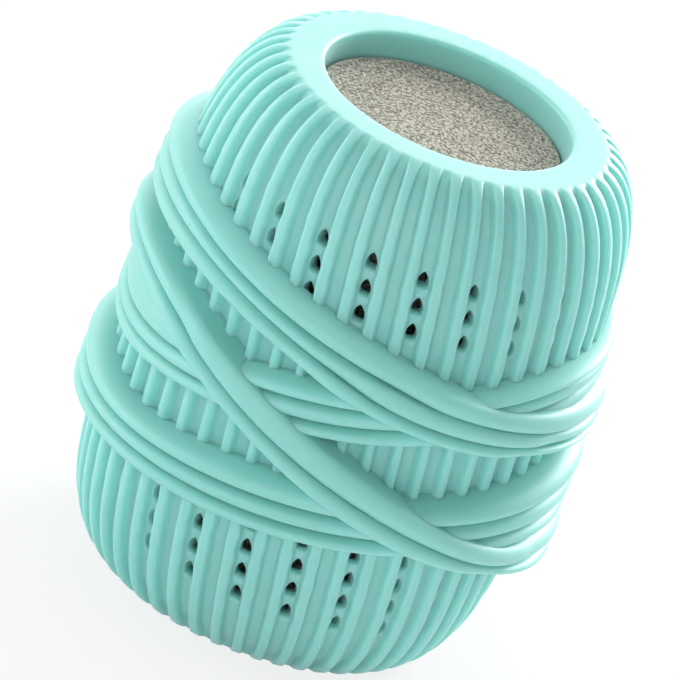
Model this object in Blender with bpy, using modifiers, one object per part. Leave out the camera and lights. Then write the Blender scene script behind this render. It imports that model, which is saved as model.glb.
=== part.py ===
# Anti tangle laundry ball: a ribbed, perforated elastomer barrel, four cord wraps round its waist
# and a sponge core that fills the two mouths and draws out for washing.
# Metres, Z up along the barrel's axis, origin at the centre of the ring that the ball stands on.
# Angles round the barrel are 0 at the front (minus Y) and grow towards plus X.

import math

import bmesh
import bpy
from mathutils import Matrix, Vector

MM = 0.001

# Barrel outline: a superellipse from the flat lip ring out to the widest rib tips
BARREL_HEIGHT = 75.0 * MM
WAIST_RADIUS = 30.0 * MM
LIP_WIDTH = 4.5 * MM
SIDE_FLATNESS = 4.5
SHOULDER_FULLNESS = 0.55
OUTLINE_STEPS = 5

# Ribs and grooves, which lean round the barrel on their way down
RIB_COUNT = 50
RIB_TIP_WIDTH = 1.35 * MM
GROOVE_FLOOR_WIDTH = 2.0 * MM
GROOVE_DEPTH = 1.35 * MM
GROOVE_RUNOUT = 24.0
RIB_LEAN = math.radians(20.0)

# Cavity and mouths
WALL = 2.1 * MM
MOUTH_RADIUS = 17.1 * MM
COLLAR_DEPTH = 5.0 * MM
LIP_RADIUS = MOUTH_RADIUS + LIP_WIDTH
MOUTH_SEGMENTS = 48
CAVITY_STEPS = 4
CUT_OVERRUN = 1.0 * MM

# Drain holes: columns in every other groove, in a band near each end
HOLE_COLUMNS = RIB_COUNT // 2
HOLE_EDGE = 0.1 * MM
HOLE_WIDTH = GROOVE_FLOOR_WIDTH - 2.0 * HOLE_EDGE
HOLE_HEIGHT = 2.5 * MM
HOLE_WEB = 1.15 * MM
HOLE_SIDES = 5
HOLE_COLUMN_ANGLE = math.radians(3.5)
TOP_ROWS = 3
TOP_ROW_DEPTH = 12.8 * MM
BASE_ROWS = 4
BASE_ROW_HEIGHT = 10.5 * MM

# Sponge core
SPONGE_CLEARANCE = 0.3 * MM
SPONGE_RECESS = 3.6 * MM
SPONGE_EDGE = 0.5 * MM

# Cord of the wraps
CORD_DIAMETER = 2.5 * MM
CORD_GAP = 0.45 * MM
CORD_SPACING = CORD_DIAMETER + CORD_GAP
SEAT_GAP = 0.3 * MM
LOOP_POINTS = 24
BEND_RADIUS = 2.1 * MM
BEND_STEPS = 3
STEP_OVER_ANGLE = math.radians(40.0)
RIDE_MARGIN = 0.5 * MM
LIFT_SPARE = 0.3 * MM
LIFT_EASE = 0.6
CHORD_SAMPLES = 8
SOCKET_SIDES = 8

# Each wrap is a tilted winding: how far its middle lies above the barrel's waist, how far it rises
# and falls from there, the angle of its high side, its turns, the angle where both its ends tuck in,
# and whether its turns are laid upwards (1) or downwards (-1). They are laid on in this order, and
# each rides over the ones before it.
WRAPS = {
    "middle_wrap": {
        "above_waist": 7.8 * MM,
        "rise": 7.6 * MM,
        "high_side": math.radians(125.0),
        "turns": 3,
        "ends": math.radians(250.0),
        "lay": -1,
    },
    "lower_wrap": {
        "above_waist": -10.75 * MM,
        "rise": 3.4 * MM,
        "high_side": math.radians(98.0),
        "turns": 3,
        "ends": math.radians(140.0),
        "lay": -1,
    },
    "diagonal_wrap": {
        "above_waist": -4.7 * MM,
        "rise": 14.3 * MM,
        "high_side": math.radians(-79.0),
        "turns": 2,
        "ends": math.radians(206.0),
        "lay": 1,
    },
    "upper_wrap": {
        "above_waist": 10.6 * MM,
        "rise": 6.9 * MM,
        "high_side": math.radians(-83.0),
        "turns": 3,
        "ends": math.radians(112.0),
        "lay": -1,
    },
}

MINT = (0.34, 0.66, 0.61, 1.0)
CORD_MINT = (0.39, 0.72, 0.67, 1.0)
SPONGE_GREY = (0.38, 0.33, 0.26, 1.0)


def clear_scene():
    for item in list(bpy.data.objects):
        bpy.data.objects.remove(item, do_unlink=True)


def new_collection(name):
    made = bpy.data.collections.new(name)
    bpy.context.scene.collection.children.link(made)
    return made


def finish(name, color, roughness):
    made = bpy.data.materials.new(name)
    made.use_nodes = True
    shader = made.node_tree.nodes["Principled BSDF"]
    shader.inputs["Base Color"].default_value = color
    shader.inputs["Roughness"].default_value = roughness
    shader.inputs["Metallic"].default_value = 0.0
    return made


def add_object(name, data, collection, material=None):
    made = bpy.data.objects.new(name, data)
    collection.objects.link(made)
    if material is not None:
        data.materials.append(material)
    return made


def mesh_from(bm, name):
    bmesh.ops.recalc_face_normals(bm, faces=bm.faces)
    mesh = bpy.data.meshes.new(name)
    bm.to_mesh(mesh)
    bm.free()
    return mesh


def hide_as_cutter(item):
    item.hide_render = True
    item.display_type = "WIRE"


def on_barrel(radius, angle, height):
    return Vector((radius * math.sin(angle), -radius * math.cos(angle), height))


# Outlines

def swelling(share, end_radius, middle_radius):
    # Radius at a share of the way from the middle (0) to an end (1)
    full = max(0.0, 1.0 - abs(share) ** SIDE_FLATNESS) ** SHOULDER_FULLNESS
    return end_radius + (middle_radius - end_radius) * full


def tip_radius(height):
    share = 2.0 * height / BARREL_HEIGHT - 1.0
    return swelling(share, LIP_RADIUS, WAIST_RADIUS)


def end_shares(steps):
    # Shares of the half height from one end to the other, closer together at the shoulders
    rising = [1.0 - (1.0 - step / steps) ** 2 for step in range(steps + 1)]
    return [-share for share in reversed(rising)] + rising[1:]


def cavity_radius(height):
    half = BARREL_HEIGHT / 2.0 - COLLAR_DEPTH
    share = min(1.0, abs(height - BARREL_HEIGHT / 2.0) / half)
    return swelling(share, MOUTH_RADIUS, WAIST_RADIUS - GROOVE_DEPTH - WALL)


def lean_at(height):
    # The ribs move round the barrel on their way down
    return RIB_LEAN * (0.5 - height / BARREL_HEIGHT)


# Barrel

def rib_ring(share):
    # One level of the ribbed skin: each rib has two tip corners and two groove corners
    nudge = 1e-4
    height = BARREL_HEIGHT * (1.0 + share) / 2.0
    tip = tip_radius(height)
    inner = max(-1.0, min(1.0, share * (1.0 - nudge)))
    run = Vector((tip - swelling(inner, LIP_RADIUS, WAIST_RADIUS), BARREL_HEIGHT * (share - inner) / 2.0))
    outward = Vector((abs(run.y), -run.x * math.copysign(1.0, run.y))) if run.y else Vector((1.0, 0.0))
    outward.normalize()
    depth = GROOVE_DEPTH * (1.0 - abs(share) ** GROOVE_RUNOUT)
    floor_radius = tip - depth * outward.x
    floor_height = height - depth * outward.y
    tip_half = RIB_TIP_WIDTH / WAIST_RADIUS / 2.0
    floor_half = GROOVE_FLOOR_WIDTH / WAIST_RADIUS / 2.0
    pitch = math.tau / RIB_COUNT
    ring = []
    for rib in range(RIB_COUNT):
        groove = HOLE_COLUMN_ANGLE + rib * pitch + lean_at(height)
        crest = groove + pitch / 2.0
        ring.append(on_barrel(floor_radius, groove - floor_half, floor_height))
        ring.append(on_barrel(floor_radius, groove + floor_half, floor_height))
        ring.append(on_barrel(tip, crest - tip_half, height))
        ring.append(on_barrel(tip, crest + tip_half, height))
    return ring


def ribbed_body():
    # The ribs fade into the flat lip rings, so the skin is lofted between unlike sections
    bm = bmesh.new()
    rings = [[bm.verts.new(corner) for corner in rib_ring(share)] for share in end_shares(OUTLINE_STEPS)]
    count = len(rings[0])
    for below, above in zip(rings, rings[1:]):
        for corner in range(count):
            after = (corner + 1) % count
            bm.faces.new((below[corner], below[after], above[after], above[corner]))
    bm.faces.new(rings[0])
    bm.faces.new(rings[-1])
    return mesh_from(bm, "barrel_shell")


def cavity_cutter(cutters):
    # Turned profile of the hollow: a straight collar at each mouth and a swelling chamber between
    half = BARREL_HEIGHT / 2.0 - COLLAR_DEPTH
    chamber = [BARREL_HEIGHT / 2.0 + half * share for share in end_shares(CAVITY_STEPS)]
    profile = [(0.0, BARREL_HEIGHT + CUT_OVERRUN), (MOUTH_RADIUS, BARREL_HEIGHT + CUT_OVERRUN)]
    profile += [(cavity_radius(height), height) for height in reversed(chamber)]
    profile += [(MOUTH_RADIUS, -CUT_OVERRUN), (0.0, -CUT_OVERRUN)]
    mesh = bpy.data.meshes.new("cavity_cutter")
    edges = [(point, point + 1) for point in range(len(profile) - 1)]
    mesh.from_pydata([(radius, 0.0, height) for radius, height in profile], edges, [])
    cutter = add_object("cavity_cutter", mesh, cutters)
    turn = cutter.modifiers.new("Turn", "SCREW")
    turn.steps = MOUTH_SEGMENTS
    turn.render_steps = MOUTH_SEGMENTS
    turn.use_merge_vertices = True
    turn.merge_threshold = 0.00001
    hide_as_cutter(cutter)
    return cutter


def add_radial_prism(bm, sides, width, tallness, angle, height):
    # A prism that points at the axis and passes through the wall only, one corner upwards
    inside = cavity_radius(height) - CUT_OVERRUN
    outside = tip_radius(height) + CUT_OVERRUN
    upright = Matrix.Scale(tallness, 4, (0.0, 0.0, 1.0))
    facing = Matrix.Rotation(angle, 4, "Z") @ upright @ Matrix.Rotation(math.pi / 2.0, 4, "X")
    place = Matrix.Translation(on_barrel((inside + outside) / 2.0, angle, height))
    bmesh.ops.create_cone(
        bm,
        cap_ends=True,
        segments=sides,
        radius1=width / 2.0,
        radius2=width / 2.0,
        depth=outside - inside,
        matrix=place @ facing,
    )


def hole_heights():
    top = [BARREL_HEIGHT - TOP_ROW_DEPTH - row * (HOLE_HEIGHT + HOLE_WEB) for row in range(TOP_ROWS)]
    base = [BASE_ROW_HEIGHT + row * (HOLE_HEIGHT + HOLE_WEB) for row in range(BASE_ROWS)]
    return top + base


def hole_cutter(cutters):
    bm = bmesh.new()
    for height in hole_heights():
        for column in range(HOLE_COLUMNS):
            angle = HOLE_COLUMN_ANGLE + column * math.tau / HOLE_COLUMNS + lean_at(height)
            add_radial_prism(bm, HOLE_SIDES, HOLE_WIDTH, HOLE_HEIGHT / HOLE_WIDTH, angle, height)
    cutter = add_object("hole_cutter", mesh_from(bm, "hole_cutter"), cutters)
    hide_as_cutter(cutter)
    return cutter


def socket_cutter(name, wrap, cutters):
    # The two sockets that take a wrap's ends
    bm = bmesh.new()
    for angle, height in socket_places(wrap):
        add_radial_prism(bm, SOCKET_SIDES, CORD_DIAMETER + 2.0 * SEAT_GAP, 1.0, angle, height)
    cutter = add_object(name + "_sockets", mesh_from(bm, name + "_sockets"), cutters)
    hide_as_cutter(cutter)
    return cutter


def cut(target, cutter, label):
    made = target.modifiers.new(label, "BOOLEAN")
    made.operation = "DIFFERENCE"
    made.solver = "EXACT"
    made.object = cutter


def add_barrel(parts, cutters):
    shell = add_object("barrel_shell", ribbed_body(), parts, finish("mint_elastomer", MINT, 0.55))
    cut(shell, cavity_cutter(cutters), "Cavity")
    cut(shell, hole_cutter(cutters), "Holes")
    for name, wrap in WRAPS.items():
        cut(shell, socket_cutter(name, wrap, cutters), "Sockets of " + name)
    return shell


# Wraps

def smooth(share):
    held = max(0.0, min(1.0, share))
    return held * held * (3.0 - 2.0 * held)


def step_over(turn_share):
    # Turns lie level beside each other and step to the next place near the cord's ends
    whole = math.floor(turn_share)
    within = (turn_share - whole) * math.tau
    stepped = 0.5 * smooth(within / STEP_OVER_ANGLE)
    stepped += 0.5 * smooth((within - math.tau + STEP_OVER_ANGLE) / STEP_OVER_ANGLE)
    return whole + stepped


def cord_height(wrap, turn_share):
    angle = wrap["ends"] + math.tau * turn_share
    middle = BARREL_HEIGHT / 2.0 + wrap["above_waist"] + wrap["rise"] * math.cos(angle - wrap["high_side"])
    return middle + CORD_SPACING * wrap["lay"] * (step_over(turn_share) - wrap["turns"] / 2.0)


def strands_at(wrap, angle):
    # Where along its winding, in turns, each strand of a wrap passes one angle round the barrel
    first = ((angle - wrap["ends"]) / math.tau) % 1.0
    return [first + turn for turn in range(wrap["turns"] + 1) if first + turn <= wrap["turns"]]


def seat_radius(height):
    # Centre line of a strand that lies on the rib tips, with room for its straight chords
    return (tip_radius(height) + SEAT_GAP + CORD_DIAMETER / 2.0) / math.cos(math.pi / LOOP_POINTS)


def lift_at(lifts, turn_share):
    point = min(int(turn_share * LOOP_POINTS), len(lifts) - 2)
    share = turn_share * LOOP_POINTS - point
    return lifts[point] + (lifts[point + 1] - lifts[point]) * share


def needed_lift(wrap, turn_share, laid):
    # How far a strand has to rise here to pass over the strands that were laid before it
    angle = wrap["ends"] + math.tau * turn_share
    height = cord_height(wrap, turn_share)
    reach = CORD_DIAMETER + RIDE_MARGIN
    lift = 0.0
    for name, lifts in laid.items():
        for crossed in strands_at(WRAPS[name], angle):
            beside = abs(height - cord_height(WRAPS[name], crossed))
            if beside < reach:
                crest = (CORD_DIAMETER + SEAT_GAP) * math.sqrt(1.0 - (beside / reach) ** 2)
                lift = max(lift, lift_at(lifts, crossed) + crest)
    return lift


def lifts_along(wrap, laid):
    # The cord is straight between its points, so the ends of each chord rise until all of it clears
    count = LOOP_POINTS * wrap["turns"]
    lifts = [needed_lift(wrap, point / LOOP_POINTS, laid) for point in range(count + 1)]
    limit = max(lifts) + LIFT_SPARE
    for point in range(count):
        for sample in range(1, CHORD_SAMPLES):
            share = sample / CHORD_SAMPLES
            need = needed_lift(wrap, (point + share) / LOOP_POINTS, laid)
            near, far = (point, point + 1) if share < 0.5 else (point + 1, point)
            weight = max(share, 1.0 - share)
            rise = (need - (1.0 - weight) * lifts[far]) / weight
            lifts[near] = max(lifts[near], min(rise, limit))
            lifts[far] = max(lifts[far], (need - weight * lifts[near]) / (1.0 - weight))
    # A stiff cord comes back down to the barrel over the next few points, except at its tucked ends
    for point in range(1, count):
        lifts[point] = max(lifts[point], LIFT_EASE * lifts[point - 1])
    for point in range(count - 1, 0, -1):
        lifts[point] = max(lifts[point], LIFT_EASE * lifts[point + 1])
    return lifts


def tuck(wrap, at_start):
    # From the wall outwards: a straight run square to the barrel, then a bend into the winding
    turn_share = 0.0 if at_start else float(wrap["turns"])
    side = -1.0 if at_start else 1.0
    height = cord_height(wrap, turn_share)
    centre = seat_radius(height) - BEND_RADIUS
    angle = wrap["ends"]
    out = on_barrel(1.0, angle, 0.0)
    along = on_barrel(1.0, angle + math.pi / 2.0, 0.0) * side
    level = Vector((0.0, 0.0, height))
    points = [level + out * (centre - CORD_DIAMETER) + along * BEND_RADIUS]
    for step in range(BEND_STEPS):
        bend = math.pi / 2.0 * step / BEND_STEPS
        reach = out * (centre + BEND_RADIUS * math.sin(bend))
        points.append(level + reach + along * BEND_RADIUS * math.cos(bend))
    return points


def socket_places(wrap):
    places = []
    for at_start in (True, False):
        foot = tuck(wrap, at_start)[0]
        places.append((math.atan2(foot.x, -foot.y), foot.z))
    return places


def cord_route(wrap, lifts):
    winding = []
    for point, lift in enumerate(lifts):
        turn_share = point / LOOP_POINTS
        height = cord_height(wrap, turn_share)
        angle = wrap["ends"] + math.tau * turn_share
        winding.append(on_barrel(seat_radius(height) + lift, angle, height))
    return tuck(wrap, True) + winding + list(reversed(tuck(wrap, False)))


def least_gap(route):
    # Least clear distance between turns, measured between points at least half a loop apart
    apart = LOOP_POINTS // 2
    near = min(
        (route[later] - route[first]).length
        for first in range(len(route))
        for later in range(first + apart, len(route))
    )
    return near - CORD_DIAMETER


def add_wrap(name, route, parts, material):
    curve = bpy.data.curves.new(name, "CURVE")
    curve.dimensions = "3D"
    curve.bevel_depth = CORD_DIAMETER / 2.0
    curve.bevel_resolution = 1
    curve.use_fill_caps = True
    spline = curve.splines.new("POLY")
    spline.points.add(len(route) - 1)
    for place, point in zip(spline.points, route):
        place.co = (*point, 1.0)
    print(name, "least gap between its turns", round(least_gap(route) / MM, 3), "mm")
    return add_object(name, curve, parts, material)


# Sponge

def add_sponge(parts):
    # The core stands in both collars, with its origin on the axis that it draws out along
    length = BARREL_HEIGHT - 2.0 * SPONGE_RECESS
    bm = bmesh.new()
    bmesh.ops.create_cone(
        bm,
        cap_ends=True,
        segments=MOUTH_SEGMENTS,
        radius1=MOUTH_RADIUS - SPONGE_CLEARANCE,
        radius2=MOUTH_RADIUS - SPONGE_CLEARANCE,
        depth=length,
        matrix=Matrix.Translation((0.0, 0.0, length / 2.0)),
    )
    mesh = mesh_from(bm, "sponge_core")
    sponge = add_object("sponge_core", mesh, parts, finish("sponge_foam", SPONGE_GREY, 0.95))
    sponge.location = (0.0, 0.0, SPONGE_RECESS)
    edge = sponge.modifiers.new("Soft edge", "BEVEL")
    edge.width = SPONGE_EDGE
    edge.segments = 2
    edge.limit_method = "ANGLE"
    edge.angle_limit = math.radians(40.0)
    return sponge


def shade(item, degrees):
    item.data.shade_smooth()
    item.data.set_sharp_from_angle(angle=math.radians(degrees))


def main():
    clear_scene()
    parts = new_collection("laundry_ball")
    cutters = new_collection("cutters")
    shell = add_barrel(parts, cutters)
    sponge = add_sponge(parts)
    cord_finish = finish("cord_elastomer", CORD_MINT, 0.5)
    laid = {}
    for name, wrap in WRAPS.items():
        lifts = lifts_along(wrap, laid)
        add_wrap(name, cord_route(wrap, lifts), parts, cord_finish)
        laid[name] = lifts
    shade(shell, 35.0)
    shade(sponge, 35.0)


main()
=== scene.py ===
import math

import bmesh
import bpy
from mathutils import Matrix, Vector, noise


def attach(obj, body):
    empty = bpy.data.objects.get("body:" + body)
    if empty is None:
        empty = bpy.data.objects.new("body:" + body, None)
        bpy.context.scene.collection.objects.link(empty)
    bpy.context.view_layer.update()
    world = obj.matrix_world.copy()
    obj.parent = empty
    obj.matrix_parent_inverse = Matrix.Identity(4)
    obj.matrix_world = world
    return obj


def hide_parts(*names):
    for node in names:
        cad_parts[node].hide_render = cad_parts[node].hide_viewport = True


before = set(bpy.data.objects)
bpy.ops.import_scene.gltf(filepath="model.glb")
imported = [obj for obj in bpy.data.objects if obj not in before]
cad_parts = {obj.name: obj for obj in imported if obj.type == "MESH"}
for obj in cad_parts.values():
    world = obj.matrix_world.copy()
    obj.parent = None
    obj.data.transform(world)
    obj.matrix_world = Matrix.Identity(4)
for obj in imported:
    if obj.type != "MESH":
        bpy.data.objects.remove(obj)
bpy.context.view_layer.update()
mm = 0.001


# small helpers

def deselectAll():
    if bpy.context.object and bpy.context.object.mode != "OBJECT":
        bpy.ops.object.mode_set(mode="OBJECT")
    bpy.ops.object.select_all(action="DESELECT")


def makeActive(obj):
    deselectAll()
    obj.select_set(True)
    bpy.context.view_layer.objects.active = obj


def applyAll(obj):
    makeActive(obj)
    for mod in list(obj.modifiers):
        bpy.ops.object.modifier_apply(modifier=mod.name)


def cleanMesh(obj, merge=0.00001):
    makeActive(obj)
    bpy.ops.object.mode_set(mode="EDIT")
    bpy.ops.mesh.select_all(action="SELECT")
    bpy.ops.mesh.remove_doubles(threshold=merge)
    bpy.ops.mesh.normals_make_consistent(inside=False)
    bpy.ops.object.mode_set(mode="OBJECT")


def linkMesh(name, bm):
    mesh = bpy.data.meshes.new(name)
    bm.to_mesh(mesh)
    bm.free()
    obj = bpy.data.objects.new(name, mesh)
    bpy.context.collection.objects.link(obj)
    return obj


def ease(share):
    share = max(0.0, min(1.0, share))
    return share * share * (3.0 - 2.0 * share)


def mix(a, b, share):
    return a + (b - a) * share


def readCurve(points, at):
    # straight between the points, held at both ends
    if at <= points[0][0]:
        return points[0][1]
    for (x0, y0), (x1, y1) in zip(points, points[1:]):
        if at <= x1:
            return mix(y0, y1, (at - x0) / (x1 - x0))
    return points[-1][1]


def polar(radius, angle, height):
    # angle 0 is the front, growing to the right; millimetres in, metres out
    return Vector((radius * math.sin(angle), -radius * math.cos(angle), height)) * mm


# barrel shape, shared by the barrel and by everything wound on it

barrel = {
    "height": 75.0,
    "waist": 30.0,
    "lip": 21.6,
    "flatness": 4.5,
    "fullness": 0.55,
    "mouth": 17.1,
    "mouthRound": 0.6,
    "collar": 5.0,
    "chamber": 26.55,
    "lean": math.radians(20.0),
    # a panel is one groove with holes and one plain groove, each between two rib tops: mm at the waist
    "columns": 25,
    "firstColumn": math.radians(3.5),
    "ribTops": (-1.885, 1.885, 5.655),
    "plainMiddle": 3.77,
    "grooveDepth": 1.35,
    "grooveRunOut": 2.9,
    # grooves are narrower at their ends and wider round the waist: share, from, to and fade in mm
    "endGroove": 0.78,
    "endGrooveReach": 0.6,
    "waistGroove": 0.13,
    "waistGrooveSpan": (27.0, 52.0, 5.0),
    # the rib flanks swell out from this far above a band of holes to this far below it
    "waveHole": 0.06,
    "wavePlain": 0.035,
    "waveReach": 6.0,
    "waveFade": 3.0,
    "waveFrom": 0.7,
    "holeRows": ((62.2, 58.55, 54.9), (21.45, 17.8, 14.15, 10.5)),
    "holePitch": 3.65,
    "rowsPerHole": 6,
    # half of a groove with holes, from its middle out: mm at the waist, share of the groove depth
    "holeGroove": [
        (0.0, 1.0), (0.43, 1.0), (0.86, 0.99), (0.95, 0.84), (1.04, 0.45), (1.17, 0.17), (1.42, 0.03),
    ],
    "plainGroove": [(0.6, 1.0), (0.84, 0.96), (0.94, 0.8), (1.04, 0.44), (1.17, 0.17), (1.42, 0.03)],
    "holeFloorColumns": (-0.86, -0.43, 0.0, 0.43, 0.86),
    # hole outline, right side from the bottom up, then the pointed top and the flat bottom
    "holeSide": [
        (0.62, -1.22), (0.83, -0.98), (0.88, -0.5), (0.88, 0.0), (0.81, 0.4), (0.63, 0.82), (0.4, 1.12),
    ],
    "holeTop": [(0.19, 1.32), (0.0, 1.46)],
    "holeFloor": [(0.31, -1.27), (0.0, -1.28)],
    # rings of a hole from the groove floor in: spread, sink as share of the groove depth, rise of its sill
    "holeRings": [(1.0, 0.99, 0.0), (0.95, 1.08, 0.1), (0.86, 1.5, 0.34)],
    "sillReach": 1.3,
    "holeInside": (1.06, 1.0),
    # levels of the skin: radii on the flat lip, shares of half the height, then heights at the waist
    "lipRings": (18.9, 20.3, 21.2),
    "outlineShares": [
        1.0, 0.9996, 0.9985, 0.9965, 0.9935, 0.9895, 0.984, 0.977, 0.968, 0.957, 0.943, 0.926,
        0.905, 0.88, 0.85, 0.815, 0.78, 0.745,
    ],
    "lowestShare": 0.79,
    "waistLevels": [50.8, 47.5, 44.0, 40.5, 37.0, 33.5, 30.0, 27.0, 25.0],
    # levels and columns of the chamber inside
    "chamberTop": [70.0, 69.6, 68.9, 68.0, 66.8, 65.4],
    "chamberWaist": [50.0, 45.0, 40.0, 35.0, 30.0, 26.5],
    "chamberBottom": [7.6, 6.6, 5.8, 5.3, 5.0],
    "chamberColumns": (-1.885, -1.42, -0.43, 0.0, 0.43, 1.42, 2.97, 4.57, 5.655),
    # which of these columns the holes use
    "chamberFloor": [1, 2, 3, 4, 5],
    "smooth": math.radians(75.0),
    "normalWeight": 50,
}


def tipRadius(z):
    share = min(1.0, abs(2.0 * z / barrel["height"] - 1.0))
    full = (1.0 - share ** barrel["flatness"]) ** barrel["fullness"]
    return barrel["lip"] + (barrel["waist"] - barrel["lip"]) * full


def chamberRadius(z):
    half = barrel["height"] / 2.0 - barrel["collar"]
    share = min(1.0, abs(z - barrel["height"] / 2.0) / half)
    full = (1.0 - share ** barrel["flatness"]) ** barrel["fullness"]
    return barrel["mouth"] + (barrel["chamber"] - barrel["mouth"]) * full


def leanAt(z):
    return barrel["lean"] * (0.5 - z / barrel["height"])


def holeBandHeights():
    # levels of the quad rows through both bands of holes, from the top down
    step = barrel["holePitch"] / barrel["rowsPerHole"]
    half = barrel["holePitch"] / 2.0
    bands = []
    for rows in barrel["holeRows"]:
        top = rows[0] + half
        count = barrel["rowsPerHole"] * len(rows)
        bands.append([top - step * k for k in range(count + 1)])
    return bands


def outerLevels():
    # (radius, z, normal r, normal z, groove share) from the top mouth round to the bottom mouth
    edge = barrel["mouthRound"]
    top = barrel["height"]
    levels = []
    for step in range(5):
        turn = math.pi / 2.0 * step / 4.0
        levels.append([barrel["mouth"] + edge * (1.0 - math.cos(turn)), top - edge * (1.0 - math.sin(turn))])
    for radius in barrel["lipRings"]:
        levels.append([radius, top])
    onLip = len(levels)
    shares = barrel["outlineShares"]
    upper, lower = holeBandHeights()
    heights = [top / 2.0 * (1.0 + share) for share in shares] + upper
    heights += barrel["waistLevels"] + lower
    heights += [top / 2.0 * (1.0 - share) for share in reversed(shares) if share > barrel["lowestShare"]]
    for height in heights:
        levels.append([tipRadius(height), height])
    mirrored = [[r, top - z] for r, z in levels[:onLip]]
    levels += list(reversed(mirrored))
    made = []
    for k, (radius, z) in enumerate(levels):
        before = levels[max(0, k - 1)]
        after = levels[min(len(levels) - 1, k + 1)]
        along = Vector((after[0] - before[0], after[1] - before[1])).normalized()
        normal = Vector((-along.y, along.x))
        flatLip = radius <= barrel["lip"] + 0.001
        if flatLip and (z > top - 0.01 or z < 0.01):
            normal = Vector((0.0, 1.0 if z > top / 2.0 else -1.0))
        made.append([radius, z, normal.x, normal.y])
    # distance along the outline from the lip's outer edge sets how deep the grooves are
    first = onLip
    last = len(made) - onLip - 1
    runs = [0.0] * len(made)
    for k in range(first + 1, len(made)):
        runs[k] = runs[k - 1] + math.hypot(made[k][0] - made[k - 1][0], made[k][1] - made[k - 1][1])
    for k, level in enumerate(made):
        if k <= first or k >= last:
            level.append(0.0)
            continue
        near = min(runs[k] - runs[first], runs[last] - runs[k])
        level.append(near / barrel["grooveRunOut"])
    return made


def waveAt(z, strength):
    # the rib flanks swell out beside every row of holes
    wave = 0.0
    reach, fade = barrel["waveReach"], barrel["waveFade"]
    for rows in barrel["holeRows"]:
        if rows[-1] - reach < z < rows[0] + reach:
            near = ease((z - rows[-1] + reach) / fade) * ease((rows[0] + reach - z) / fade)
            wave = strength * near * math.cos(math.tau * (z - rows[0]) / barrel["holePitch"])
    return wave


def outerColumns():
    # x at the waist in mm, groove depth share, side of its groove, wave strength
    columns = [(barrel["ribTops"][0], 0.0, 0, 0.0)]
    grooves = ((0.0, "holeGroove", "waveHole"), (barrel["plainMiddle"], "plainGroove", "wavePlain"))
    for centre, profile, wave in grooves:
        half = [point for point in barrel[profile] if point[0] > 0.0]
        for x, depth in reversed(half):
            columns.append((centre - x, depth, -1, barrel[wave] if x > barrel["waveFrom"] else 0.0))
        if len(half) < len(barrel[profile]):
            columns.append((centre, 1.0, 0, 0.0))
        for x, depth in half:
            columns.append((centre + x, depth, 1, barrel[wave] if x > barrel["waveFrom"] else 0.0))
    columns.append((barrel["ribTops"][2], 0.0, 0, 0.0))
    return columns


def outerPoint(level, x, depth):
    radius, z, normalR, normalZ = level[:4]
    angle = barrel["firstColumn"] + x / barrel["waist"] + leanAt(z)
    deep = depth * barrel["grooveDepth"]
    return polar(radius - deep * normalR, angle, z - deep * normalZ)


def innerPoint(z, x):
    angle = barrel["firstColumn"] + x / barrel["waist"] + leanAt(z)
    return polar(chamberRadius(z), angle, z)


def holeOutline():
    # twenty points, in the order of the cell's rim: up the right side, over the top, down the left
    side = barrel["holeSide"]
    shoulder, peak = barrel["holeTop"]
    corner, sill = barrel["holeFloor"]
    ring = side + [shoulder, peak, (-shoulder[0], shoulder[1])]
    ring += [(-x, z) for x, z in reversed(side)]
    ring += [(-corner[0], corner[1]), sill, corner]
    return ring


def cellRim(grid, row, columnList, count):
    # vertices round a cell of the grid, in the same order as the hole's outline
    left, right = columnList[0], columnList[-1]
    middle = columnList[1:-1]
    ring = [grid[row + count - k][right] for k in range(count + 1)]
    ring += [grid[row][column] for column in reversed(middle)]
    ring += [grid[row + k][left] for k in range(count + 1)]
    ring += [grid[row + count][column] for column in middle]
    return ring


def holeCells(heights):
    # the middle of every hole, and the row of a grid with these levels where its cell starts
    cells = {}
    for rows, band in zip(barrel["holeRows"], holeBandHeights()):
        start = min(range(len(heights)), key=lambda k: abs(heights[k] - band[0]))
        for k, middle in enumerate(rows):
            cells[middle] = start + k * barrel["rowsPerHole"]
    return cells


def fillGrid(bm, grid, cells, floor, outside):
    # four-sided faces, left open where the holes are
    skipped = set()
    for row in cells.values():
        for down in range(barrel["rowsPerHole"]):
            for column in floor[:-1]:
                skipped.add((row + down, column))
    for row in range(len(grid) - 1):
        for column in range(len(grid[0]) - 1):
            if (row, column) in skipped:
                continue
            here, beside = grid[row][column], grid[row][column + 1]
            below, across = grid[row + 1][column], grid[row + 1][column + 1]
            if outside:
                bm.faces.new((here, below, across, beside))
            else:
                bm.faces.new((here, beside, across, below))


def outerGrid(bm, levels, columns):
    low, high, fade = barrel["waistGrooveSpan"]
    grid = []
    for level in levels:
        z = level[1]
        reach = level[4]
        deep = ease(reach)
        narrow = mix(barrel["endGroove"], 1.0, ease(reach * barrel["endGrooveReach"]))
        narrow += barrel["waistGroove"] * ease((z - low) / fade) * ease((high - z) / fade)
        line = []
        for x, depth, side, wave in columns:
            centre = 0.0 if x < barrel["ribTops"][1] else barrel["plainMiddle"]
            if side:
                x = centre + (x - centre) * narrow + side * waveAt(z, wave)
            line.append(bm.verts.new(outerPoint(level, x, depth * deep)))
        grid.append(line)
    return grid


def holeRing(bm, spine, middle, spread, sink, rise):
    ring = []
    for x, up in holeOutline():
        z = middle + up * spread + rise * ease(-up / barrel["sillReach"])
        near = [readCurve([(-level[1], level[i]) for level in spine], -z) for i in range(4)]
        near[1] = z
        ring.append(bm.verts.new(outerPoint(near, x * spread, sink)))
    return ring


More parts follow.
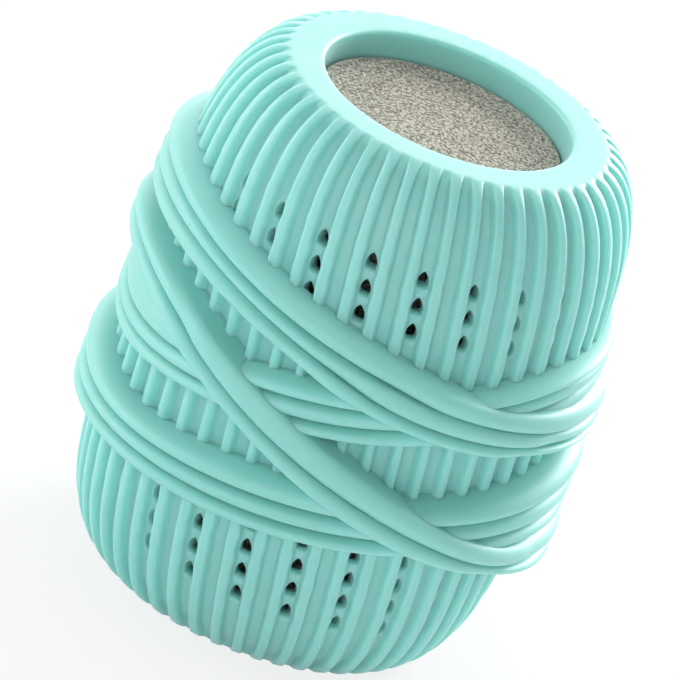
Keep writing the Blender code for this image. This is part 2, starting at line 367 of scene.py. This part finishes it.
def buildPanel():
    # one groove with holes and one plain groove, from mouth to mouth, outside and inside
    bm = bmesh.new()
    levels = outerLevels()
    columns = outerColumns()
    grid = outerGrid(bm, levels, columns)
    xs = [column[0] for column in columns]
    floor = [xs.index(x) for x in barrel["holeFloorColumns"]]
    cells = holeCells([level[1] for level in levels])
    fillGrid(bm, grid, cells, floor, True)
    # inside of the wall
    keep = [min(range(len(xs)), key=lambda k: abs(xs[k] - x)) for x in barrel["chamberColumns"]]
    upper, lower = holeBandHeights()
    inHeights = barrel["chamberTop"] + upper + barrel["chamberWaist"] + lower + barrel["chamberBottom"]
    inner = [[bm.verts.new(innerPoint(z, xs[column])) for column in keep] for z in inHeights]
    inFloor = barrel["chamberFloor"]
    inCells = holeCells(inHeights)
    fillGrid(bm, inner, inCells, inFloor, False)
    # collars, from the rounded mouths to the chamber
    for line, mouth in ((inner[0], grid[0]), (inner[-1], grid[-1])):
        for k, (a, b) in enumerate(zip(keep, keep[1:])):
            bm.faces.new([line[k], *mouth[a:b + 1], line[k + 1]])
    # the holes: a soft rim on the groove floor, then straight in through the wall
    count = barrel["rowsPerHole"]
    wide, tall = barrel["holeInside"]
    for middle, row in cells.items():
        spine = levels[row:row + count + 1]
        rings = [cellRim(grid, row, floor, count)]
        for spread, sink, rise in barrel["holeRings"]:
            rings.append(holeRing(bm, spine, middle, spread, sink, rise))
        rings.append([bm.verts.new(innerPoint(middle + up * tall, x * wide)) for x, up in holeOutline()])
        rings.append(cellRim(inner, inCells[middle], inFloor, count))
        for first, second in zip(rings, rings[1:]):
            for k in range(len(first)):
                after = (k + 1) % len(first)
                bm.faces.new((first[k], first[after], second[after], second[k]))
    return linkMesh("barrel_moulding", bm)


def repeatPanel(obj):
    bpy.ops.object.empty_add(location=(0.0, 0.0, 0.0))
    turner = bpy.context.object
    turner.rotation_euler = (0.0, 0.0, math.tau / barrel["columns"])
    around = obj.modifiers.new("Around", "ARRAY")
    around.count = barrel["columns"]
    around.use_relative_offset = False
    around.use_object_offset = True
    around.offset_object = turner
    around.use_merge_vertices = True
    around.use_merge_vertices_cap = True
    around.merge_threshold = 0.00001
    applyAll(obj)
    bpy.data.objects.remove(turner, do_unlink=True)
    cleanMesh(obj)


# the soft moulding isn't perfectly even: ribs wander a few hundredths of a millimetre, here in metres
ribDrift = {
    "fromRadius": 0.0268,
    "fade": 0.0015,
    "heights": (0.003, 0.072),
    "coarse": 420.0,
    "fine": 1100.0,
    "amount": 0.00008,
}


def roughenRibs(obj):
    low, high = ribDrift["heights"]
    for vertex in obj.data.vertices:
        place = vertex.co
        radius = math.hypot(place.x, place.y)
        if radius > ribDrift["fromRadius"] and low < place.z < high:
            sideways = Vector((-place.y, place.x, 0.0)) / radius
            inset = ease((radius - ribDrift["fromRadius"]) / ribDrift["fade"])
            drift = noise.noise(place * ribDrift["coarse"]) + 0.5 * noise.noise(place * ribDrift["fine"])
            vertex.co = place + sideways * drift * inset * ribDrift["amount"]


barrelObj = buildPanel()
repeatPanel(barrelObj)
roughenRibs(barrelObj)
print("barrel", len(barrelObj.data.polygons))


# wraps: every strand lies between two rails that run round the barrel

wraps = {
    # rails from the top down: their height every 30 degrees round the barrel, from the front to the right;
    # fullness is how far the strands stand out there, as a share of their crest
    "middle_band": {
        "node": "middle_wrap",
        "turns": 3,
        "ends": math.radians(250.0),
        "lay": -1,
        "over": [],
        "fullness": [1.0, 0.97, 0.8, 0.5, 0.52, 0.65, 0.7, 0.7, 0.6, 0.52, 0.6, 0.84],
        "rails": [
            [45.3, 48.5, 52.2, 53.1, 55.4, 56.4, 54.1, 50.4, 46.3, 43.2, 41.7, 42.0],
            [43.1, 47.2, 50.9, 51.6, 53.2, 53.5, 51.1, 47.5, 43.0, 38.4, 37.3, 39.6],
            [40.4, 44.8, 48.4, 49.6, 50.9, 50.6, 48.2, 44.5, 40.2, 36.3, 35.2, 37.3],
            [38.3, 42.1, 45.6, 47.4, 48.5, 47.7, 45.2, 41.5, 37.5, 34.1, 33.1, 35.4],
        ],
    },
    "lower_band": {
        "node": "lower_wrap",
        "turns": 3,
        "ends": math.radians(140.0),
        "lay": -1,
        "over": [],
        "fullness": [1.0, 1.03, 1.08, 1.12, 1.08, 1.0, 1.0, 1.0, 0.98, 0.95, 0.97, 1.0],
        "rails": [
            [30.7, 32.3, 34.5, 36.5, 35.3, 33.3, 31.6, 29.9, 29.2, 30.0, 27.8, 28.7],
            [27.7, 29.6, 31.4, 32.1, 31.5, 30.3, 28.7, 27.0, 25.5, 24.8, 24.8, 25.9],
            [25.1, 27.1, 28.4, 28.7, 28.4, 27.4, 25.7, 24.0, 22.7, 22.3, 22.6, 23.6],
            [22.9, 24.9, 26.2, 25.8, 25.4, 24.4, 22.8, 21.0, 19.8, 19.8, 20.4, 21.4],
        ],
    },
    "diagonal_band": {
        "node": "diagonal_wrap",
        "turns": 2,
        "ends": math.radians(206.0),
        "lay": 1,
        "over": ["middle_band", "lower_band"],
        "fullness": [1.0, 1.0, 1.12, 1.33, 1.27, 1.1, 1.0, 1.0, 1.0, 1.05, 1.0, 1.0],
        "rails": [
            [38.2, 31.6, 26.7, 25.8, 24.3, 26.4, 33.0, 40.4, 46.0, 48.3, 48.0, 44.1],
            [34.1, 28.3, 23.4, 21.6, 20.9, 23.4, 30.1, 37.5, 43.4, 46.5, 45.4, 40.7],
            [31.6, 25.8, 21.6, 18.7, 17.6, 20.5, 27.1, 34.5, 40.5, 43.5, 42.5, 38.4],
        ],
    },
    "upper_band": {
        "node": "upper_wrap",
        "turns": 3,
        "ends": math.radians(112.0),
        "lay": -1,
        "over": ["middle_band", "diagonal_band"],
        "fullness": [1.0, 1.0, 1.0, 1.02, 1.0, 1.0, 1.0, 1.0, 0.95, 0.86, 0.9, 0.97],
        "rails": [
            [53.2, 49.5, 47.5, 46.7, 46.0, 48.0, 51.7, 55.2, 58.2, 60.0, 59.2, 56.3],
            [50.1, 46.7, 44.2, 42.9, 43.4, 45.4, 48.7, 52.3, 54.9, 56.3, 56.4, 53.7],
            [47.6, 44.1, 42.0, 40.4, 40.6, 42.5, 45.8, 49.3, 52.0, 53.4, 53.7, 51.7],
            [45.5, 42.3, 40.4, 39.3, 38.3, 39.5, 42.8, 46.4, 49.3, 51.0, 50.9, 49.0],
        ],
    },
}

strand = {
    "ringsPerTurn": 240,
    "stepOver": math.radians(40.0),
    # each end runs on for a share of a turn, while it sinks into the barrel and grows slimmer
    "tail": 0.04,
    "tailRings": 12,
    "tailDrop": 5.2,
    "tailSlim": 0.35,
    "seam": 0.012,
    "foot": 28.45,
    "footDrop": 0.25,
    # over an earlier wrap: half a strand's width, rings on either side that share a lift, how close it rests
    "half": 1.7,
    "settle": 9,
    "rest": 0.08,
    "restRaised": 0.6,
    # an earlier wrap is taken as flat between these shares, and fades at its upper and lower edge
    "crest": 3.36,
    "flat": (0.58, 0.46),
    "edges": (0.7, 1.6),
    # across a strand from its upper edge down: share of its width, then how far its skin stands out
    "across": [0.0, 0.03, 0.08, 0.15, 0.24, 0.34, 0.46, 0.58, 0.7, 0.8, 0.88, 0.94, 0.98, 1.0],
    "plain": [1.55, 2.0, 2.45, 2.84, 3.1, 3.27, 3.36, 3.34, 3.22, 3.0, 2.68, 2.28, 1.88, 1.55],
    "top": [0.5, 1.35, 2.0, 2.5, 2.88, 3.14, 3.32, 3.36, 3.3, 3.1, 2.76, 2.34, 1.9, 1.55],
    "last": [1.55, 2.0, 2.45, 2.84, 3.1, 3.27, 3.36, 3.34, 3.2, 2.92, 2.46, 1.9, 1.3, 0.7],
    # the same, above the crest of an earlier wrap
    "raised": [0.0, 0.26, 0.48, 0.68, 0.84, 0.96, 1.05, 1.05, 0.96, 0.82, 0.63, 0.4, 0.17, 0.0],
    "smooth": math.radians(60.0),
}


def waveNumbers(values):
    # a smooth closed curve through evenly spaced values, as sines and cosines
    count = len(values)
    pairs = []
    for order in range(count // 2 + 1):
        share = 1.0 if order in (0, count // 2) else 2.0
        cosine = sum(v * math.cos(order * math.tau * k / count) for k, v in enumerate(values))
        sine = sum(v * math.sin(order * math.tau * k / count) for k, v in enumerate(values))
        pairs.append((share * cosine / count, share * sine / count))
    return pairs


def waveHeight(pairs, angle):
    terms = enumerate(pairs)
    return sum(c * math.cos(order * angle) + s * math.sin(order * angle) for order, (c, s) in terms)


for band in wraps.values():
    band["railWaves"] = [waveNumbers(rail) for rail in band["rails"]]
    band["fullWave"] = waveNumbers(band["fullness"])


def railHeights(band, angle):
    return [waveHeight(pairs, angle) for pairs in band["railWaves"]]


def steppedTurn(turn):
    whole = math.floor(turn)
    within = (turn - whole) * math.tau
    step = 0.5 * ease(within / strand["stepOver"])
    step += 0.5 * ease((within - math.tau + strand["stepOver"]) / strand["stepOver"])
    return whole + step


def slotHeight(rails, slot):
    low = max(0, min(len(rails) - 2, int(math.floor(slot))))
    return mix(rails[low], rails[low + 1], slot - low)


def crestBelow(band, angle, z, half):
    # how much of a strand lies on an earlier wrap here, and how far that wrap stands out
    share, crest = 0.0, 0.0
    for name in band["over"]:
        below = wraps[name]
        rails = railHeights(below, angle)
        here = ease((z - rails[-1] + half) / (2.0 * half)) * ease((rails[0] - z + half) / (2.0 * half))
        if here > share:
            share = here
            crest = strand["crest"] * waveHeight(below["fullWave"], angle)
    return share, crest


def skinBelow(band, angle, z):
    # how far the earlier wraps stand out under a point, their seams bridged
    skin = 0.0
    topFlat, lastFlat = strand["flat"]
    topEdge, lastEdge = strand["edges"]
    for name in band["over"]:
        below = wraps[name]
        rails = railHeights(below, angle)
        if rails[-1] < z < rails[0]:
            fromTop = (rails[0] - z) / (rails[0] - rails[1])
            fromLast = (z - rails[-1]) / (rails[-2] - rails[-1])
            rounded = min(
                readCurve(list(zip(strand["across"], strand["top"])), min(fromTop, topFlat)),
                readCurve(list(zip(strand["across"], strand["last"])), max(1.0 - fromLast, lastFlat)),
            )
            rounded *= ease((rails[0] - z) / topEdge) * ease((z - rails[-1]) / lastEdge)
            skin = max(skin, rounded * waveHeight(below["fullWave"], angle))
    return skin


def average(values):
    return sum(values) / len(values)


def strandTrack(band):
    # where every ring of the winding lies: turn, angle, slot of its middle, rails, lift over earlier wraps
    last = float(band["turns"])
    tail = strand["tail"]
    steps = strand["tailRings"]
    turns = [-tail * (1.0 - k / steps) for k in range(steps)]
    turns += [k / strand["ringsPerTurn"] for k in range(band["turns"] * strand["ringsPerTurn"] + 1)]
    turns += [last + tail * (k + 1) / steps for k in range(steps)]
    track = []
    for turn in turns:
        held = max(0.0, min(last, turn))
        angle = band["ends"] + math.tau * turn
        centre = steppedTurn(held) if held < last else last
        if band["lay"] > 0:
            centre = last - centre
        rails = railHeights(band, angle)
        lift = crestBelow(band, angle, slotHeight(rails, centre), strand["half"])
        track.append([turn, angle, centre, rails, lift])
    # a strand is too stiff to follow every step below it: it leaves early and comes down late
    reach = strand["settle"]
    for gather in (max, average):
        settled = []
        for k in range(len(track)):
            near = track[max(0, k - reach):k + reach + 1]
            settled.append([gather([item[4][part] for item in near]) for part in range(2)])
        for item, lift in zip(track, settled):
            item[4] = lift
    return track


def strandRing(band, item):
    turn, angle, centre, rails, (cover, crest) = item
    last = band["turns"]
    past = max(-turn, turn - last, 0.0) / strand["tail"]
    topness = 1.0 - ease(centre - 0.5)
    lastness = ease(centre - (last - 1.5))
    full = waveHeight(band["fullWave"], angle)
    drop = strand["tailDrop"] * ease(past)
    slim = 1.0 - strand["tailSlim"] * ease(past)
    ring = []
    for k, share in enumerate(strand["across"]):
        slot = centre + (mix(strand["seam"], 1.0 - strand["seam"], share) - 0.5) * slim
        z = slotHeight(rails, slot)
        skin = full * mix(mix(strand["plain"][k], strand["top"][k], topness), strand["last"][k], lastness)
        skin = mix(skin, max(skin, crest + strand["raised"][k]), cover)
        below = skinBelow(band, angle, z)
        if below > 0.0:
            clear = strand["rest"] + strand["restRaised"] * strand["raised"][k]
            skin = max(skin, below + min(1.0, below) * clear)
        ring.append((skin + tipRadius(z) - drop, z))
    upper, lower = ring[0], ring[-1]
    foot = strand["foot"] - drop * strand["footDrop"]
    ring += [(mix(lower[0], foot, 0.5), lower[1]), (foot, lower[1])]
    ring += [(foot, mix(lower[1], upper[1], 0.5)), (foot, upper[1]), (mix(upper[0], foot, 0.5), upper[1])]
    return [polar(max(radius, foot), angle, z) for radius, z in ring]


def buildBand(name, band):
    bm = bmesh.new()
    rings = [[bm.verts.new(point) for point in strandRing(band, item)] for item in strandTrack(band)]
    count = len(rings[0])
    for before, after in zip(rings, rings[1:]):
        for k in range(count):
            beside = (k + 1) % count
            bm.faces.new((before[k], after[k], after[beside], before[beside]))
    bm.faces.new(rings[0])
    bm.faces.new(list(reversed(rings[-1])))
    return linkMesh(name, bm)


bandObjs = {}
for name, band in wraps.items():
    bandObj = buildBand(name, band)
    cleanMesh(bandObj, 0.000001)
    makeActive(bandObj)
    bpy.ops.object.shade_smooth_by_angle(angle=strand["smooth"])
    bandObjs[name] = bandObj
print("bands", sum(len(obj.data.polygons) for obj in bandObjs.values()))

makeActive(barrelObj)
bpy.ops.object.shade_smooth_by_angle(angle=barrel["smooth"])
flatten = barrelObj.modifiers.new("Weighted normals", "WEIGHTED_NORMAL")
flatten.keep_sharp = True
flatten.weight = barrel["normalWeight"]
applyAll(barrelObj)


# sponge core

sponge = {
    "radius": 16.8,
    "low": 3.6,
    "high": 71.4,
    "edge": 1.2,
    "edgeSteps": 4,
    "sides": 96,
}


def buildSponge():
    bpy.ops.mesh.primitive_cylinder_add(
        vertices=sponge["sides"],
        radius=sponge["radius"] * mm,
        depth=(sponge["high"] - sponge["low"]) * mm,
        location=(0.0, 0.0, (sponge["high"] + sponge["low"]) / 2.0 * mm),
    )
    obj = bpy.context.object
    obj.name = "sponge_plug"
    bpy.ops.object.transform_apply(location=True, rotation=True, scale=True)
    bpy.ops.object.mode_set(mode="EDIT")
    bpy.ops.mesh.select_all(action="SELECT")
    bpy.ops.mesh.bevel(
        offset=sponge["edge"] * mm,
        segments=sponge["edgeSteps"],
        affect="EDGES",
        clamp_overlap=True,
    )
    bpy.ops.object.mode_set(mode="OBJECT")
    return obj


spongeObj = buildSponge()
print("sponge", len(spongeObj.data.polygons))


# materials

def newMaterial(name):
    mat = bpy.data.materials.new(name)
    mat.use_nodes = True
    return mat, mat.node_tree, mat.node_tree.nodes["Principled BSDF"]


rubberLook = {
    "color": (0.265, 0.65, 0.6, 1.0),
    # the barrel's copy of the cords' rubber, painted a little lighter: painted light for the brighter look
    # of the thin barrel wall
    "bodyColorPaintedLighter": (0.29, 0.66, 0.62, 1.0),
    "roughness": 0.5,
    "specular": 0.62,
    "sheen": 0.12,
    "subsurface": 0.45,
    "bodySubsurface": 0.7,
    "scatter": (0.5, 1.0, 0.85),
    "scatterScale": 0.0026,
    "grainScale": 2600.0,
    "grainDetail": 3.0,
    "grainBump": 0.06,
    "grainDepth": 0.0001,
}

foamLook = {
    "roughness": 0.95,
    "specular": 0.1,
    "cellScale": 2300.0,
    "cellDetail": 6.0,
    "cellRoughness": 0.75,
    # pale on the cells and dark between them, the grain real and the dark in the pores painted shade: where
    # on the noise, and the colour
    "ramp": [(0.42, (0.14, 0.13, 0.106, 1.0)), (0.58, (0.67, 0.65, 0.56, 1.0))],
    "bump": 0.7,
    "depth": 0.0003,
}


def addNoise(tree, scale, detail):
    coords = tree.nodes.new("ShaderNodeTexCoord")
    texture = tree.nodes.new("ShaderNodeTexNoise")
    texture.inputs["Scale"].default_value = scale
    texture.inputs["Detail"].default_value = detail
    tree.links.new(coords.outputs["Object"], texture.inputs["Vector"])
    return texture


def addBump(tree, shader, texture, strength, distance):
    bump = tree.nodes.new("ShaderNodeBump")
    bump.inputs["Strength"].default_value = strength
    bump.inputs["Distance"].default_value = distance
    tree.links.new(texture.outputs["Fac"], bump.inputs["Height"])
    tree.links.new(bump.outputs["Normal"], shader.inputs["Normal"])


def rubberMaterial(name, color, subsurface):
    mat, tree, shader = newMaterial(name)
    shader.inputs["Base Color"].default_value = rubberLook[color]
    shader.inputs["Roughness"].default_value = rubberLook["roughness"]
    shader.inputs["Specular IOR Level"].default_value = rubberLook["specular"]
    shader.inputs["Sheen Weight"].default_value = rubberLook["sheen"]
    shader.inputs["Subsurface Weight"].default_value = rubberLook[subsurface]
    shader.inputs["Subsurface Radius"].default_value = rubberLook["scatter"]
    shader.inputs["Subsurface Scale"].default_value = rubberLook["scatterScale"]
    fine = addNoise(tree, rubberLook["grainScale"], rubberLook["grainDetail"])
    addBump(tree, shader, fine, rubberLook["grainBump"], rubberLook["grainDepth"])
    return mat


def foamMaterial():
    mat, tree, shader = newMaterial("open_cell_foam")
    shader.inputs["Roughness"].default_value = foamLook["roughness"]
    shader.inputs["Specular IOR Level"].default_value = foamLook["specular"]
    cells = addNoise(tree, foamLook["cellScale"], foamLook["cellDetail"])
    cells.inputs["Roughness"].default_value = foamLook["cellRoughness"]
    # cell grain, with painted shade in the pores between the cells
    ramp = tree.nodes.new("ShaderNodeValToRGB")
    for stop, (position, color) in zip(ramp.color_ramp.elements, foamLook["ramp"]):
        stop.position = position
        stop.color = color
    tree.links.new(cells.outputs["Fac"], ramp.inputs["Fac"])
    tree.links.new(ramp.outputs["Color"], shader.inputs["Base Color"])
    addBump(tree, shader, cells, foamLook["bump"], foamLook["depth"])
    return mat


# the barrel takes the painted-lighter copy of the rubber
barrelObj.data.materials.append(rubberMaterial("mint_moulding", "bodyColorPaintedLighter", "bodySubsurface"))
cordRubber = rubberMaterial("mint_cord", "color", "subsurface")
for obj in bandObjs.values():
    obj.data.materials.append(cordRubber)
spongeObj.data.materials.append(foamMaterial())
print("materials")


# everything rides on the frame

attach(barrelObj, "shell")
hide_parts("barrel_shell")
for name, obj in bandObjs.items():
    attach(obj, "shell")
    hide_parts(wraps[name]["node"])
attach(spongeObj, "sponge")
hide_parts("sponge_core")
print("on the frame")


# floor, light and camera

studio = {
    "floorSize": 8.0,
    "floorColor": (0.85, 0.85, 0.85, 1.0),
    "floorRoughness": 0.9,
    # share of white light that the camera sees of the floor
    "floorWhite": 0.8,
    # the sky's strength changes between two values of Y, then is scaled down between two values of Z
    "skyFront": 0.3,
    "skyBack": 2.6,
    "skyDepth": (-0.1, 1.0),
    "skyTop": 0.3,
    "skyHeight": (0.3, 0.75),
    "lampAim": (0.0, 0.0, 0.04),
    "lamps": [
        # name, place, size, watts
        ("back_lamp", (0.55, 0.95, 0.44), 0.5, 15.5),
        ("top_lamp", (0.0, 0.0, 1.1), 0.6, 3.3),
        ("left_lamp", (-1.1, 0.05, 0.35), 0.6, 6.0),
        ("front_lamp", (-0.1, -1.1, 0.4), 0.8, 5.2),
    ],
}

bpy.ops.mesh.primitive_plane_add(size=studio["floorSize"], location=(0.0, 0.0, 0.0))
floorObj = bpy.context.object
floorObj.name = "studio_floor"
floorMat, floorTree, floorShader = newMaterial("floor_paint")
floorShader.inputs["Base Color"].default_value = studio["floorColor"]
floorShader.inputs["Roughness"].default_value = studio["floorRoughness"]
floorShader.inputs["Specular IOR Level"].default_value = 0.0
# the floor is seen almost white, and keeps part of the shadow
seen = floorTree.nodes.new("ShaderNodeLightPath")
counted = [seen.outputs["Is Camera Ray"]]
for kind in ("Is Glossy Ray", "Is Transmission Ray"):
    both = floorTree.nodes.new("ShaderNodeMath")
    both.operation = "MAXIMUM"
    floorTree.links.new(counted[-1], both.inputs[0])
    floorTree.links.new(seen.outputs[kind], both.inputs[1])
    counted.append(both.outputs[0])
amount = floorTree.nodes.new("ShaderNodeMath")
amount.operation = "MULTIPLY"
amount.inputs[1].default_value = studio["floorWhite"]
white = floorTree.nodes.new("ShaderNodeEmission")
blend = floorTree.nodes.new("ShaderNodeMixShader")
floorTree.links.new(counted[-1], amount.inputs[0])
floorTree.links.new(amount.outputs[0], blend.inputs[0])
floorTree.links.new(floorShader.outputs["BSDF"], blend.inputs[1])
floorTree.links.new(white.outputs["Emission"], blend.inputs[2])
floorTree.links.new(blend.outputs["Shader"], floorTree.nodes["Material Output"].inputs["Surface"])
floorObj.data.materials.append(floorMat)


def addGrade(tree, span, start, end):
    # a smooth change from start to end over a span of its input
    grade = tree.nodes.new("ShaderNodeMapRange")
    grade.interpolation_type = "SMOOTHSTEP"
    grade.inputs["From Min"].default_value = span[0]
    grade.inputs["From Max"].default_value = span[1]
    grade.inputs["To Min"].default_value = start
    grade.inputs["To Max"].default_value = end
    return grade


# a white tent, brighter behind the object than in front of it
world = bpy.data.worlds.new("studio_sky")
world.use_nodes = True
skyTree = world.node_tree
around = skyTree.nodes.new("ShaderNodeTexCoord")
axes = skyTree.nodes.new("ShaderNodeSeparateXYZ")
grade = addGrade(skyTree, studio["skyDepth"], studio["skyFront"], studio["skyBack"])
ceiling = addGrade(skyTree, studio["skyHeight"], 1.0, studio["skyTop"])
tent = skyTree.nodes.new("ShaderNodeMath")
tent.operation = "MULTIPLY"
skyTree.links.new(around.outputs["Generated"], axes.inputs[0])
skyTree.links.new(axes.outputs["Y"], grade.inputs["Value"])
skyTree.links.new(axes.outputs["Z"], ceiling.inputs["Value"])
skyTree.links.new(grade.outputs["Result"], tent.inputs[0])
skyTree.links.new(ceiling.outputs["Result"], tent.inputs[1])
skyTree.links.new(tent.outputs[0], skyTree.nodes["Background"].inputs["Strength"])
skyTree.nodes["Background"].inputs["Color"].default_value = (1.0, 1.0, 1.0, 1.0)
bpy.context.scene.world = world

for name, place, size, watts in studio["lamps"]:
    lampData = bpy.data.lights.new(name, "AREA")
    lampData.energy = watts
    lampData.size = size
    lamp = bpy.data.objects.new(name, lampData)
    bpy.context.collection.objects.link(lamp)
    lamp.location = place
    aim = Vector(studio["lampAim"]) - Vector(place)
    lamp.rotation_euler = aim.to_track_quat("-Z", "Y").to_euler()

shot = {
    "elevation": math.radians(25.31),
    "roll": math.radians(22.0),
    "distance": 0.910,
    "lens": 365.5,
    "sensor": 36.0,
    "clip": 0.05,
    # mm across and up the picture
    "shift": (1.56, -0.26),
    "centre": (0.0, 0.0, 0.0375),
}

cameraData = bpy.data.cameras.new("photo_camera")
cameraData.lens = shot["lens"]
cameraData.sensor_width = shot["sensor"]
cameraData.clip_start = shot["clip"]
camera = bpy.data.objects.new("photo_camera", cameraData)
bpy.context.collection.objects.link(camera)
right = Vector((1.0, 0.0, 0.0))
ahead = Vector((0.0, math.cos(shot["elevation"]), -math.sin(shot["elevation"])))
up = Vector((0.0, math.sin(shot["elevation"]), math.cos(shot["elevation"])))
across = right * math.cos(shot["roll"]) + up * math.sin(shot["roll"])
upward = up * math.cos(shot["roll"]) - right * math.sin(shot["roll"])
place = Vector(shot["centre"]) - ahead * shot["distance"]
place -= across * shot["shift"][0] * mm + upward * shot["shift"][1] * mm
turn = Matrix((across, upward, -ahead)).transposed().to_4x4()
camera.matrix_world = Matrix.Translation(place) @ turn
bpy.context.scene.camera = camera
bpy.context.scene.view_settings.view_transform = "Standard"
print("studio")
